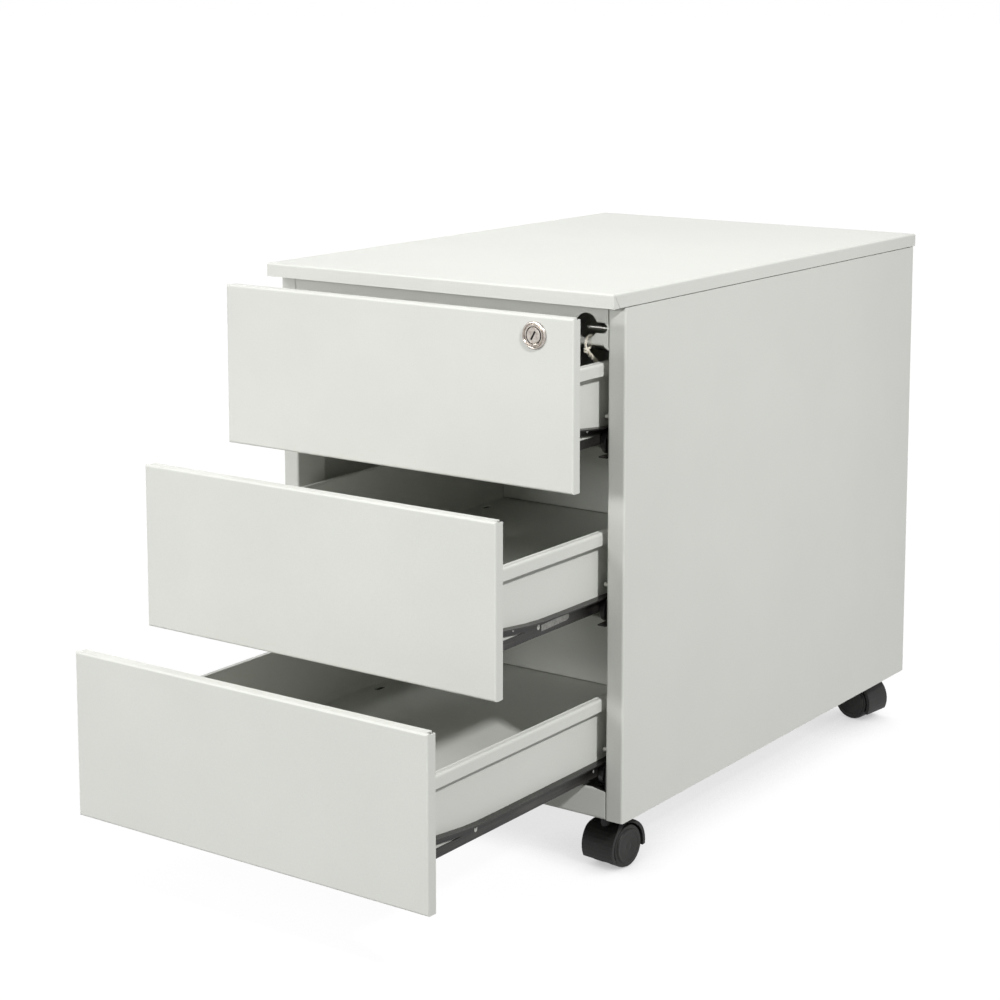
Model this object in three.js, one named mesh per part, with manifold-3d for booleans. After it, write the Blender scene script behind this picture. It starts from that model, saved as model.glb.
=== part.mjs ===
// A three-drawer steel mobile pedestal: folded sheet carcass, drawers on roller runners, a central
// lock with its bar, and twin-wheel casters. Millimetres, +Z up, front towards -Y, origin on the
// floor under the middle of the cabinet as it stands with its drawers part open.
import * as THREE from "three";
import { mergeVertices } from "three/addons/utils/BufferGeometryUtils.js";
import Module from "manifold-3d";

const wasm = await Module();
wasm.setup();

// ---------------------------------------------------------------- driving dimensions
// Overall
const CABINET_WIDTH = 390;
const CABINET_DEPTH = 590;
const CABINET_HEIGHT = 530;

// Sheet metal
const SHEET = 1;
const BEND = 2; // outside radius of a fold
const BEND_STEPS = 3; // chords in a fold's arc
const SEAM = 0.3; // gap between pieces that are welded or screwed together
const OVERRUN = 1; // a cut reaches past the surface that it opens

// Top cover
const COVER_DEPTH = 13; // height of its turned-down edge
const COVER_LIP = 12;
const COVER_GAP = 0.8; // shadow line between cover and side panels
const COVER_SEAM = { width: 0.4, depth: 0.5, slant: 0.6 };
const SIDE_REVEAL = 0.5; // cover overhangs each side panel by this
const BACK_REVEAL = 2;

// Side panels and their posts
const POST_SETBACK = 20; // front of the posts behind the front of the cover
const POST_WIDTH = 18;
const POST_DEPTH = 41;
const POST_RETURN = 11;
const REAR_FLANGE = 15;
const PANEL_FLANGE = 12; // turned in along the panel's top and bottom
const PANEL_FLANGE_START = 2; // behind the post
const UPRIGHT_INSET = 90; // rear upright that carries the runners, from the back of the cover
const UPRIGHT_WIDTH = 42;

// Back and base
const BACK_PAN_DEPTH = 12;
const BASE_PAN_DEPTH = 20;
const PAN_LIP = 10;

// Front rails
const TOP_RAIL_HEIGHT = 35.5;
const TOP_RAIL_GAP = 14; // top of the rail below the top of the cover
const BOTTOM_RAIL_HEIGHT = 28;
const RAIL_FLANGE = 11;
const RAIL_END = { width: 15, drop: 2.5 }; // bottom rail's top edge slopes down to the posts
const RAIL_FLANGE_INSET = 24; // bottom rail's top flange stops short of the rollers
const RAIL_WELD_TAB = { width: 4, drop: 3 };

// Drawers, bottom one first
const DRAWERS = ["bottom", "middle", "top"];
const OPENINGS = { bottom: 270.5, middle: 179.5, top: 68 }; // how far each stands open
const DRAWER_CLEARANCE = 10.5; // bottom drawer's front above the lower edge of the body
const FRONT_TOP_GAP = 0.5;
const FRONT_GAP = 1.8;
const FRONT_SETBACK = 8.5; // closed drawer front behind the front of the cover
const FRONT_REVEAL = 1; // drawer front narrower than the body, each side
const FRONT_DEPTH = 10;
const FRONT_LIP = 8;
const FRONT_PLATE_INSET = 3; // tray's front plate inside the edges of the front's pan
const CORNER_RELIEF = 1.4;
const CORNER_STEP = { width: 3.4, drop: 1.2 }; // side flange ends below the top flange
const TRAY_REAR_SPACE = 70; // tray shorter than the cabinet, measured from the drawer's face
const TRAY_FLOOR = 28.5; // inside floor above the lower edge of the front
const TRAY_DROP = 50.5; // top of the tray below the top of its front
const TRAY_LIP_WIDTH = 7.5;
const TRAY_LIP_DROP = 11.3;
const FLOOR_SLOT = { fromWall: 12, fromBack: [56, 148], length: 14, width: 6 };

// Roller runners
const RUNNER_SPACE = 13.5; // between tray wall and post
const RUNNER_SHEET = 1.2;
const RUNNER_TOP = 40; // running flange above the lower edge of the front
const RUNNER_FLANGE = 6.6;
const RUNNER_BAND = 7.5; // height of the web's upper part, which follows the flange
const RUNNER_STRIP = 8; // height of its straight lower part
const RUNNER_SLIT_END = 85; // behind the face of the front, where the two parts meet
const RUNNER_FOOT = 13; // turned in under the tray
const RUNNER_START = 11; // behind the face of the front
// the flange lifts towards the front, so that the drawer runs home: [behind the face, rise]
const RUNNER_LIFT = [[RUNNER_START, 8], [43, 5.8], [RUNNER_SLIT_END, 1.5], [105, 0.3], [140, 0]];
const CHANNEL_START = 22; // cabinet member, behind the front of the cover
const CHANNEL_END_INSET = 1; // ends just inside the rear upright
const CHANNEL_FLANGE = 10.2;
const CHANNEL_CUTAWAY = 89; // length of top flange left off at the front
const CHANNEL_CLEARANCE = 1; // above the drawer's running flange
const ROLLER_WIDTH = 5.4;
const ROLLER_GAP = 0.3; // running gap of a roller to its track
const FRONT_ROLLER_RADIUS = 11;
const FRONT_ROLLER_INSET = 14; // axle behind the front end of the channel
const REAR_ROLLER_INSET = 15; // axle ahead of the back of the tray
const AXLE_RADIUS = 2;
const AXLE_CLEARANCE = 0.3;
const ROLLER_EDGE = 0.7;
const ROLLER_ROOM = 1; // between the rear roller and the end of the running flange

// Central lock
const LOCK_INSET = 22.5; // from the right-hand post
const LOCK_DROP = 17.2; // below the top of the front rail
const ROSETTE_RADIUS = 12;
const ROSETTE_THICKNESS = 1.6;
const ROSETTE_EDGE = 0.7;
const BARREL_RADIUS = 9;
const BARREL_CLEARANCE = 0.6;
const PLUG_RADIUS = 7;
const PLUG_CLEARANCE = 0.3;
const PLUG_PROUD = 0.5;
const PLUG_EDGE = 0.5;
const TAIL_RADIUS = 5;
const TAIL_END = 19.5; // behind the face of the drawer front
const CAM_THICKNESS = 2;
const CAM_RIM = 0.6; // metal round the stud
const CAM_INSET = 1; // narrower than the tail
const CAM_STUD_OFFSET = 6.4;
const CAM_STUD_LENGTH = 6.5;
const KEYWAY = { width: 1.8, height: 8.5, depth: 3, tilt: 0.5 };
const LOCK_HOLE_RADIUS = 11.3;
const LOCK_HOLE_DROP = 1.2; // centre of the rail's hole below the lock's centre
const RAIL_SLOT = { above: 2.6, below: 7.1, inset: 0.8 }; // beside the hole, about the lock's centre
const PIN_RADIUS = 2;
const PIN_Y = 33; // behind the front of the cover
const PIN_REACH = 6; // past the lock's centre
const PIN_BELOW_LOCK = 4.4; // at rest, unlocked
const LOCK_TRAVEL = 6.4; // the bar drops by this
const SLOT_CLEARANCE = 0.8;
const BAR_THICKNESS = 2;
const BAR_GAP = 0.5; // between the bar and the post's inner face
const BAR_WIDTH = 12;
const CATCH_RADIUS = 2.5;
const CATCH_AHEAD = 1; // studs in front of the pin
const CATCH_REACH = 9; // stud tip inwards from the post's face
const CATCH_HEIGHT = 50.5; // stud above the lower edge of each drawer front
// lug on the drawer member: its place behind the face of the front, its top above the lower edge,
// and the width of the flange that is left ahead of it
const CATCH_LUG = { start: 28.5, thickness: 1.5, top: 46.2, clear: 2.4 };

// Casters
const WHEEL_RADIUS = 20;
const WHEEL_OUTER = 17.2; // half the width over both wheels
const WHEEL_INNER = 4.5;
const WHEEL_CHAMFER = 3;
const HOOD_THICKNESS = 3.2;
const HOOD_HALF_WIDTH = 17.5;
const HOOD_WEB = 3.6; // half the web between the wheels
const HOOD_CLEARANCE = 1.2;
const HOOD_CROWN_RADIUS = 9;
const HOOD_NOSE = 11; // the nose over the swivel reaches this far below the axle
const HOOD_TAIL = 4;
const HOOD_NECK = 0.3;
const HOOD_NECK_RADIUS = 5.5;
const SWIVEL_GAP = 1;
const CASTER_TRAIL = 10;
const CASTER_AXLE_RADIUS = 3;
const STEM_RADIUS = 5;
const STEM_CLEARANCE = 0.3;
const SOCKET_RADIUS = 7;
const SOCKET_HEIGHT = 6;
const PLATE_SIZE = 34;
const PLATE_THICKNESS = 2;
const PLATE_CORNER = 5;
const CASTER_SIDE_INSET = 32.5; // swivel axis from the side of the body
const CASTER_FRONT_INSET = 25.5; // from the front of the posts
const CASTER_REAR_INSET = 20;
const CASTERS = [
  { name: "front_right", side: 1, rear: false, turn: -0.1 },
  { name: "front_left", side: -1, rear: false, turn: -0.35 },
  { name: "rear_right", side: 1, rear: true, turn: 1.46 },
  { name: "rear_left", side: -1, rear: true, turn: -1.5 },
];

// Spare key on its string
const CORD_RADIUS = 1.1;
const CORD_SIDES = 8;
const CORD_STEPS = 36;
const KEY = { bow: 11, hole: 3, blade: 24, bladeWidth: 7, thickness: 2 };
const KEY_PLACE = { aside: 3, gap: 1, lift: 0.4, turn: 0.2 }; // from the string's end
const CORD_ROUTE = [
  [155.4, 21.6, 476.8], [156.6, 24.0, 480.2], [157.8, 24.8, 484.2], [158.4, 23.6, 487.4],
  [157.9, 20.6, 488.7], [156.8, 17.6, 487.6], [155.8, 16.2, 484.2], [155.3, 16.6, 480.0],
  [155.9, 17.6, 476.2], [156.0, 21.4, 472.6], [156.2, 26.0, 469.0], [156.1, 31.8, 464.9],
  [155.4, 36.8, 459.4], [154.4, 40.4, 452.0], [153.2, 42.6, 443.0], [151.8, 44.0, 433.0],
  [150.4, 45.0, 423.0], [148.8, 46.4, 413.0], [147.2, 48.8, 404.4], [145.2, 53.4, 398.9],
  [143.4, 58.6, 397.0],
];

// ---------------------------------------------------------------- derived places
const bodyHalf = CABINET_WIDTH / 2 - SIDE_REVEAL;
const bodyTop = CABINET_HEIGHT - COVER_DEPTH - COVER_GAP;
const bodyBack = CABINET_DEPTH - BACK_REVEAL;
const postInner = bodyHalf - POST_WIDTH;
const hoodRadius = WHEEL_RADIUS + HOOD_CLEARANCE + HOOD_THICKNESS;
const hoodTop = WHEEL_RADIUS + hoodRadius + HOOD_NECK;
const plateUnderside = hoodTop + SWIVEL_GAP + SOCKET_HEIGHT;
const bodyUnderside = plateUnderside + PLATE_THICKNESS + SEAM;

const trayHalf = postInner - RUNNER_SPACE;
const frontHalf = bodyHalf - FRONT_REVEAL;
const drawerBottom = bodyUnderside + DRAWER_CLEARANCE;
const frontGaps = FRONT_TOP_GAP + (DRAWERS.length - 1) * FRONT_GAP;
const frontHeight = (bodyTop - frontGaps - drawerBottom) / DRAWERS.length;
const pitch = frontHeight + FRONT_GAP;
const trayTop = frontHeight - TRAY_DROP;
const trayEnd = CABINET_DEPTH - TRAY_REAR_SPACE;
const railTop = CABINET_HEIGHT - TOP_RAIL_GAP;
const railBottom = railTop - TOP_RAIL_HEIGHT;
const uprightStart = CABINET_DEPTH - UPRIGHT_INSET;

const trackHeight = RUNNER_TOP - RUNNER_SHEET - 2 * ROLLER_GAP - 2 * FRONT_ROLLER_RADIUS;
const channelTop = RUNNER_TOP + CHANNEL_CLEARANCE;
const rearRollerRadius = (channelTop - trackHeight) / 2 - ROLLER_GAP;
const rearRollerHeight = trackHeight + ROLLER_GAP + rearRollerRadius;
const frontRollerHeight = trackHeight + ROLLER_GAP + FRONT_ROLLER_RADIUS;
const rollerInner = trayHalf + SEAM + RUNNER_SHEET + ROLLER_GAP + SEAM;
const channelEnd = uprightStart + UPRIGHT_WIDTH - CHANNEL_END_INSET;

const topDrawerBottom = drawerBottom + (DRAWERS.length - 1) * pitch;
const lockX = postInner - LOCK_INSET;
const lockHeight = railTop - LOCK_DROP;
const pinHeight = lockHeight - PIN_BELOW_LOCK;
const barInner = postInner + SHEET + BAR_GAP;
const catchY = PIN_Y - CATCH_AHEAD;

const frontFaceY = FRONT_SETBACK - OPENINGS.bottom;
const middleY = (frontFaceY + CABINET_DEPTH) / 2;

// ---------------------------------------------------------------- solids
// A geometry as a manifold solid, and back again as one with flat faces.
function solidOf(geometry) {
  const bare = geometry.clone();
  bare.deleteAttribute("normal");
  bare.deleteAttribute("uv");
  const merged = mergeVertices(bare, 1e-4);
  return new wasm.Manifold(
    new wasm.Mesh({
      numProp: 3,
      vertProperties: merged.attributes.position.array,
      triVerts: new Uint32Array(merged.index.array),
    }),
  );
}

function geometryOf(solid) {
  const mesh = solid.getMesh();
  const geometry = new THREE.BufferGeometry();
  geometry.setAttribute("position", new THREE.BufferAttribute(mesh.vertProperties, 3));
  geometry.setIndex(new THREE.BufferAttribute(mesh.triVerts, 1));
  const flat = geometry.toNonIndexed();
  flat.computeVertexNormals();
  return flat;
}

const join = (...solids) => solids.reduce((whole, piece) => whole.add(piece));
const cut = (whole, ...tools) => tools.reduce((rest, tool) => rest.subtract(tool), whole);

// Prisms of a closed outline along each axis. Outlines are (y, z), (x, z) and (x, y) points.
const AXES = {
  x: [new THREE.Vector3(0, 1, 0), new THREE.Vector3(0, 0, 1), new THREE.Vector3(1, 0, 0)],
  y: [new THREE.Vector3(1, 0, 0), new THREE.Vector3(0, 0, 1), new THREE.Vector3(0, -1, 0)],
  z: [new THREE.Vector3(1, 0, 0), new THREE.Vector3(0, 1, 0), new THREE.Vector3(0, 0, 1)],
};

function prism(axis, outline, from, to, curveSegments = 6) {
  const shape = Array.isArray(outline) ? shapeOf(outline) : outline;
  const geometry = new THREE.ExtrudeGeometry(shape, {
    depth: to - from,
    bevelEnabled: false,
    curveSegments,
  });
  geometry.applyMatrix4(new THREE.Matrix4().makeBasis(...AXES[axis]));
  const start = { x: [from, 0, 0], y: [0, to, 0], z: [0, 0, from] }[axis];
  return solidOf(geometry.translate(...start));
}

function shapeOf(points) {
  return new THREE.Shape(points.map(([a, b]) => new THREE.Vector2(a, b)));
}

function box(x0, x1, y0, y1, z0, z1) {
  return prism("z", [[x0, y0], [x1, y0], [x1, y1], [x0, y1]], z0, z1);
}

function circle(x, y, radius) {
  const shape = new THREE.Shape();
  shape.absarc(x, y, radius, 0, 2 * Math.PI);
  return shape;
}

// A rod along an axis through the given centre of its outline's plane.
function rod(axis, centre, radius, from, to, curveSegments = 16) {
  return prism(axis, circle(...centre, radius), from, to, curveSegments);
}

// A profile of [distance along the axis, radius] points turned about X.
function turned(profile, segments) {
  const points = profile.map(([along, radius]) => new THREE.Vector2(radius, along));
  const geometry = new THREE.LatheGeometry(points, segments);
  return solidOf(geometry.rotateZ(-Math.PI / 2));
}

// ---------------------------------------------------------------- folded sheet
function direction(from, to) {
  const length = Math.hypot(to[0] - from[0], to[1] - from[1]);
  return [(to[0] - from[0]) / length, (to[1] - from[1]) / length];
}

// The two sides of one fold: arcs about a common centre, on the side that the path turns to.
function foldArcs(before, corner, after, thickness, bend) {
  const [inX, inY] = direction(before, corner);
  const [outX, outY] = direction(corner, after);
  const turn = Math.atan2(inX * outY - inY * outX, inX * outX + inY * outY);
  const side = Math.sign(turn);
  const nearRadius = side < 0 ? bend : bend - thickness;
  const farRadius = side < 0 ? bend - thickness : bend;
  const back = nearRadius * Math.tan(Math.abs(turn) / 2);
  const centre = [
    corner[0] - inX * back - inY * nearRadius * side,
    corner[1] - inY * back + inX * nearRadius * side,
  ];
  const start = Math.atan2(-inX * side, inY * side);
  const arc = (radius) =>
    Array.from({ length: BEND_STEPS + 1 }, (_, i) => {
      const angle = start + (turn * i) / BEND_STEPS;
      return [centre[0] + radius * Math.cos(angle), centre[1] + radius * Math.sin(angle)];
    });
  return { near: arc(nearRadius), far: arc(farRadius) };
}

// The outline of a sheet whose one face follows the path, with the sheet on the path's right.
function foldedOutline(path, thickness = SHEET, bend = BEND) {
  const near = [];
  const far = [];
  path.forEach((point, i) => {
    const before = path[i - 1];
    const after = path[i + 1];
    if (before && after) {
      const arcs = foldArcs(before, point, after, thickness, bend);
      near.push(...arcs.near);
      far.push(...arcs.far);
    } else {
      const [dx, dy] = direction(before ?? point, after ?? point);
      near.push(point);
      far.push([point[0] + dy * thickness, point[1] - dx * thickness]);
    }
  });
  return [...near, ...far.reverse()];
}

// A block with its face at y0 and that face's four edges rounded; x is centred and z starts at z0.
function roundedBlock(halfWidth, z0, z1, y0, y1, radius) {
  const plan = new THREE.Shape();
  plan.moveTo(-halfWidth, y1);
  plan.lineTo(-halfWidth, y0 + radius);
  plan.absarc(-halfWidth + radius, y0 + radius, radius, Math.PI, 1.5 * Math.PI);
  plan.lineTo(halfWidth - radius, y0);
  plan.absarc(halfWidth - radius, y0 + radius, radius, 1.5 * Math.PI, 2 * Math.PI);
  plan.lineTo(halfWidth, y1);
  const side = new THREE.Shape();
  side.moveTo(y1, z0);
  side.lineTo(y0 + radius, z0);
  side.absarc(y0 + radius, z0 + radius, radius, 1.5 * Math.PI, Math.PI, true);
  side.lineTo(y0, z1 - radius);
  side.absarc(y0 + radius, z1 - radius, radius, Math.PI, 0.5 * Math.PI, true);
  side.lineTo(y1, z1);
  const first = prism("z", plan, z0, z1, BEND_STEPS);
  return first.intersect(prism("x", side, -halfWidth, halfWidth, BEND_STEPS));
}

// A folded pan: its face at y = 0, walls back to depth, and lips turned in at the back.
function foldedPan(halfWidth, height, depth, lip) {
  const outer = roundedBlock(halfWidth, 0, height, 0, depth, BEND);
  const inner = roundedBlock(
    halfWidth - SHEET, SHEET, height - SHEET, SHEET, depth - SHEET, BEND - SHEET,
  );
  const edge = SHEET + lip;
  const mouth = box(
    -halfWidth + edge, halfWidth - edge, SHEET * 2, depth + SHEET, edge, height - edge,
  );
  return cut(outer, inner, mouth);
}

// Turns a pan so that its face looks up (turn -1) or down (turn 1) and its height runs along y.
function layFlat(solid, turn) {
  return solid.rotate([turn * 90, 0, 0]);
}

// ---------------------------------------------------------------- carcass
// The cover, with a fine seam across each side edge where the turned-down edges meet.
function topCover() {
  const pan = foldedPan(CABINET_WIDTH / 2, CABINET_DEPTH, COVER_DEPTH, COVER_LIP);
  const run = COVER_DEPTH * COVER_SEAM.slant;
  const seam = (side, back) => {
    const x = (side * CABINET_WIDTH) / 2;
    const y = back ? CABINET_DEPTH : 0;
    const inward = back ? -1 : 1;
    const high = CABINET_HEIGHT - BEND;
    const start = y + inward * BEND;
    const end = start + inward * run;
    const w = COVER_SEAM.width;
    const strip = [[start, high], [end, bodyTop], [end + w, bodyTop], [start + w, high]];
    return prism("x", strip, x - COVER_SEAM.depth, x + COVER_SEAM.depth);
  };
  const cover = layFlat(pan, -1).translate([0, 0, CABINET_HEIGHT]);
  return cut(cover, seam(1, false), seam(-1, false), seam(1, true), seam(-1, true));
}

// The right-hand panel: post, outer wall and rear flange in one fold, with the rear upright.
function sidePanel() {
  const height = [bodyUnderside, bodyTop];
  const skin = foldedOutline([
    [bodyHalf - REAR_FLANGE, bodyBack],
    [bodyHalf, bodyBack],
    [bodyHalf, POST_SETBACK],
    [postInner, POST_SETBACK],
    [postInner, POST_SETBACK + POST_DEPTH],
    [postInner + POST_RETURN, POST_SETBACK + POST_DEPTH],
  ]);
  const wall = bodyHalf - SHEET / 2;
  const upright = foldedOutline([
    [wall, uprightStart + UPRIGHT_WIDTH],
    [postInner, uprightStart + UPRIGHT_WIDTH],
    [postInner, uprightStart],
    [wall, uprightStart],
  ].reverse());
  const flangeFrom = POST_SETBACK + POST_DEPTH + PANEL_FLANGE_START;
  const flange = (z) =>
    box(bodyHalf - PANEL_FLANGE, wall, flangeFrom, bodyBack - SHEET / 2, z, z + SHEET);
  return join(
    prism("z", skin, ...height),
    prism("z", upright, ...height),
    flange(bodyUnderside),
    flange(bodyTop - SHEET),
  );
}

// The slots in the right-hand post for the lock bar's pin and catch studs.
function lockSlots() {
  const slot = (y, low, high, radius) => {
    const r = radius + SLOT_CLEARANCE;
    const through = [postInner - OVERRUN, postInner + SHEET + OVERRUN];
    return box(...through, y - r, y + r, low - r, high + r);
  };
  const catches = DRAWERS.map((_, i) => {
    const z = drawerBottom + i * pitch + CATCH_HEIGHT;
    return slot(catchY, z - LOCK_TRAVEL, z, CATCH_RADIUS);
  });
  return [slot(PIN_Y, pinHeight - LOCK_TRAVEL, pinHeight, PIN_RADIUS), ...catches];
}

function backPanel() {
  const low = bodyUnderside + BASE_PAN_DEPTH + SEAM;
  const height = bodyTop - SHEET - SEAM - low;
  const pan = foldedPan(bodyHalf - SHEET - SEAM, height, BACK_PAN_DEPTH, PAN_LIP);
  return pan.rotate([0, 0, 180]).translate([0, bodyBack - SHEET - SEAM, low]);
}

function basePanel() {
  const front = POST_SETBACK + RAIL_FLANGE + SHEET + SEAM;
  const back = bodyBack - SHEET - SEAM;
  const pan = foldedPan(postInner - SEAM, back - front, BASE_PAN_DEPTH, PAN_LIP);
  return layFlat(pan, 1).translate([0, back, bodyUnderside]);
}

// Turned flanges above and below a flat web, with the cut-out that the lock's barrel enters.
function topRail() {
  const end = postInner - SEAM;
  const profile = foldedOutline([
    [POST_SETBACK + RAIL_FLANGE, railBottom],
    [POST_SETBACK, railBottom],
    [POST_SETBACK, railTop],
    [POST_SETBACK + RAIL_FLANGE, railTop],
  ]);
  const front = POST_SETBACK - OVERRUN;
  const through = POST_SETBACK + SHEET + OVERRUN;
  const holePlace = [lockX, lockHeight - LOCK_HOLE_DROP];
  const hole = rod("y", holePlace, LOCK_HOLE_RADIUS, front, through, 10);
  const high = lockHeight + RAIL_SLOT.above;
  const low = lockHeight - RAIL_SLOT.below;
  const slotRadius = (high - low) / 2;
  const slotEnd = end - RAIL_SLOT.inset - slotRadius;
  const slot = join(
    box(lockX, slotEnd, front, through, low, high),
    rod("y", [slotEnd, (low + high) / 2], slotRadius, front, through, 8),
  );
  // the lower flange stops beside the lock, where the string is looped on the web
  const loopRoom = box(
    lockX - 2 * LOCK_HOLE_RADIUS, end + OVERRUN,
    POST_SETBACK + SHEET, POST_SETBACK + RAIL_FLANGE + OVERRUN,
    railBottom - OVERRUN, railBottom + LOCK_HOLE_RADIUS,
  );
  const weldTab = (side) => {
    const inner = side * (end - RAIL_WELD_TAB.width);
    const corners = [
      [inner, railBottom + BEND], [inner, railBottom],
      [side * end, railBottom - RAIL_WELD_TAB.drop], [side * end, railBottom + BEND],
    ];
    const outline = side > 0 ? corners : corners.reverse();
    return prism("y", outline, POST_SETBACK, POST_SETBACK + SHEET);
  };
  const web = cut(prism("x", profile, -end, end), hole, slot, loopRoom);
  return join(web, weldTab(1), weldTab(-1));
}

function bottomRail() {
  const end = postInner - SEAM;
  const top = bodyUnderside + BOTTOM_RAIL_HEIGHT;
  const profile = foldedOutline([
    [POST_SETBACK + RAIL_FLANGE, bodyUnderside],
    [POST_SETBACK, bodyUnderside],
    [POST_SETBACK, top],
    [POST_SETBACK + RAIL_FLANGE, top],
  ]);
  const slope = end - RAIL_END.width;
  const outline = [
    [-end, bodyUnderside], [end, bodyUnderside], [end, top - RAIL_END.drop],
    [slope, top], [-slope, top], [-end, top - RAIL_END.drop],
  ];
  const depth = [POST_SETBACK - OVERRUN, POST_SETBACK + RAIL_FLANGE + OVERRUN];
  const front = prism("y", outline, ...depth);
  const clearOfRoller = (side) => {
    const a = side * (end - RAIL_FLANGE_INSET);
    const b = side * (end + OVERRUN);
    const y = POST_SETBACK + SHEET;
    const low = top - BEND - SHEET;
    return box(Math.min(a, b), Math.max(a, b), y, y + RAIL_FLANGE, low, top + OVERRUN);
  };
  const rail = prism("x", profile, -end, end).intersect(front);
  return cut(rail, clearOfRoller(1), clearOfRoller(-1));
}

// ---------------------------------------------------------------- runners (right-hand)
// The cabinet member: a channel open towards the drawer, with the front roller's axle.
function cabinetChannel() {
  const web = postInner - SEAM;
  const top = channelTop + RUNNER_SHEET;
  const bottom = trackHeight - RUNNER_SHEET;
  const section = foldedOutline(
    [
      [web - CHANNEL_FLANGE, top],
      [web, top],
      [web, bottom],
      [web - CHANNEL_FLANGE, bottom],
    ],
    RUNNER_SHEET,
  );
  const cutaway = box(
    web - CHANNEL_FLANGE - OVERRUN, web + OVERRUN,
    CHANNEL_START - OVERRUN, CHANNEL_START + CHANNEL_CUTAWAY,
    RUNNER_TOP, top + OVERRUN,
  );
  const axleY = CHANNEL_START + FRONT_ROLLER_INSET;
  const axle = rod(
    "x", [axleY, frontRollerHeight], AXLE_RADIUS,
    rollerInner - ROLLER_GAP, web - RUNNER_SHEET / 2, 6,
  );
  return join(cut(prism("y", section, CHANNEL_START, channelEnd), cutaway), axle);
}

// The drawer member: a foot under the tray, a web beside it that is slit at the front, and the
// lifting flange. The flange is narrow ahead of the lug that the catch stud locks.
function drawerMember() {
  const inner = trayHalf + SEAM;
  const webEnd = inner + RUNNER_SHEET;
  const outer = webEnd + RUNNER_FLANGE;
  const foot = TRAY_FLOOR - SHEET - SEAM - RUNNER_SHEET;
  const under = RUNNER_TOP - RUNNER_SHEET;
  const axleY = trayEnd - REAR_ROLLER_INSET;
  const flangeEnd = axleY - rearRollerRadius - ROLLER_ROOM;
  const edgeBelow = (drop) =>
    [...RUNNER_LIFT, [flangeEnd, 0]].map(([y, rise]) => [y, RUNNER_TOP + rise - drop]);
  const runningEdge = edgeBelow(0).reverse();
  const flange = [...edgeBelow(RUNNER_SHEET), ...runningEdge];
  const band = [...edgeBelow(RUNNER_BAND), ...runningEdge];
  const web = new THREE.Shape();
  web.moveTo(RUNNER_START, foot);
  web.lineTo(axleY, foot);
  web.absarc(axleY, (foot + under) / 2, (under - foot) / 2, -Math.PI / 2, Math.PI / 2);
  web.lineTo(RUNNER_SLIT_END, under);
  web.lineTo(RUNNER_SLIT_END, foot + RUNNER_STRIP);
  web.lineTo(RUNNER_START, foot + RUNNER_STRIP);
  const notch = box(
    webEnd + CATCH_LUG.clear, outer + OVERRUN,
    RUNNER_START - OVERRUN, CATCH_LUG.start, RUNNER_TOP, CATCH_LUG.top + RUNNER_SHEET + OVERRUN,
  );
  const axle = rod(
    "x", [axleY, rearRollerHeight], AXLE_RADIUS,
    inner + RUNNER_SHEET / 2, rollerInner + ROLLER_WIDTH + ROLLER_GAP, 6,
  );
  return join(
    cut(prism("x", flange, inner, outer), notch),
    prism("x", band, inner, webEnd),
    prism("x", web, inner, webEnd),
    box(
      inner, outer, CATCH_LUG.start, CATCH_LUG.start + CATCH_LUG.thickness,
      RUNNER_TOP, CATCH_LUG.top,
    ),
    box(inner - RUNNER_FOOT, webEnd, RUNNER_START, axleY, foot, foot + RUNNER_SHEET),
    axle,
  );
}

// A nylon roller centred on the origin.
function roller(radius) {
  const half = ROLLER_WIDTH / 2;
  const bore = AXLE_RADIUS + AXLE_CLEARANCE;
  const profile = [
    [-half, bore], [-half, radius - ROLLER_EDGE], [-half + ROLLER_EDGE, radius],
    [half - ROLLER_EDGE, radius], [half, radius - ROLLER_EDGE], [half, bore], [-half, bore],
  ];
  return turned(profile, 16);
}

// ---------------------------------------------------------------- drawers
// The front: a folded pan whose flanges stop short of each other at the upper corners.
function drawerFront(withLock) {
  const pan = foldedPan(frontHalf, frontHeight, FRONT_DEPTH, FRONT_LIP);
  const y = [BEND + SHEET, FRONT_DEPTH + OVERRUN];
  const top = frontHeight + OVERRUN;
  const reliefs = [-1, 1].flatMap((side) => {
    const slit = side * (frontHalf - CORNER_STEP.width);
    const slitEnd = slit + side * CORNER_RELIEF;
    const out = side * (frontHalf + OVERRUN);
    const low = frontHeight - BEND - CORNER_RELIEF;
    return [
      box(Math.min(slit, slitEnd), Math.max(slit, slitEnd), ...y, low, top),
      box(Math.min(slit, out), Math.max(slit, out), ...y, frontHeight - CORNER_STEP.drop, top),
    ];
  });
  const front = cut(pan, ...reliefs);
  if (!withLock) return front;
  const through = [-OVERRUN, FRONT_DEPTH + OVERRUN];
  const lockPlace = [lockX, lockHeight - topDrawerBottom];
  return cut(front, rod("y", lockPlace, BARREL_RADIUS + BARREL_CLEARANCE, ...through, 10));
}

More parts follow.
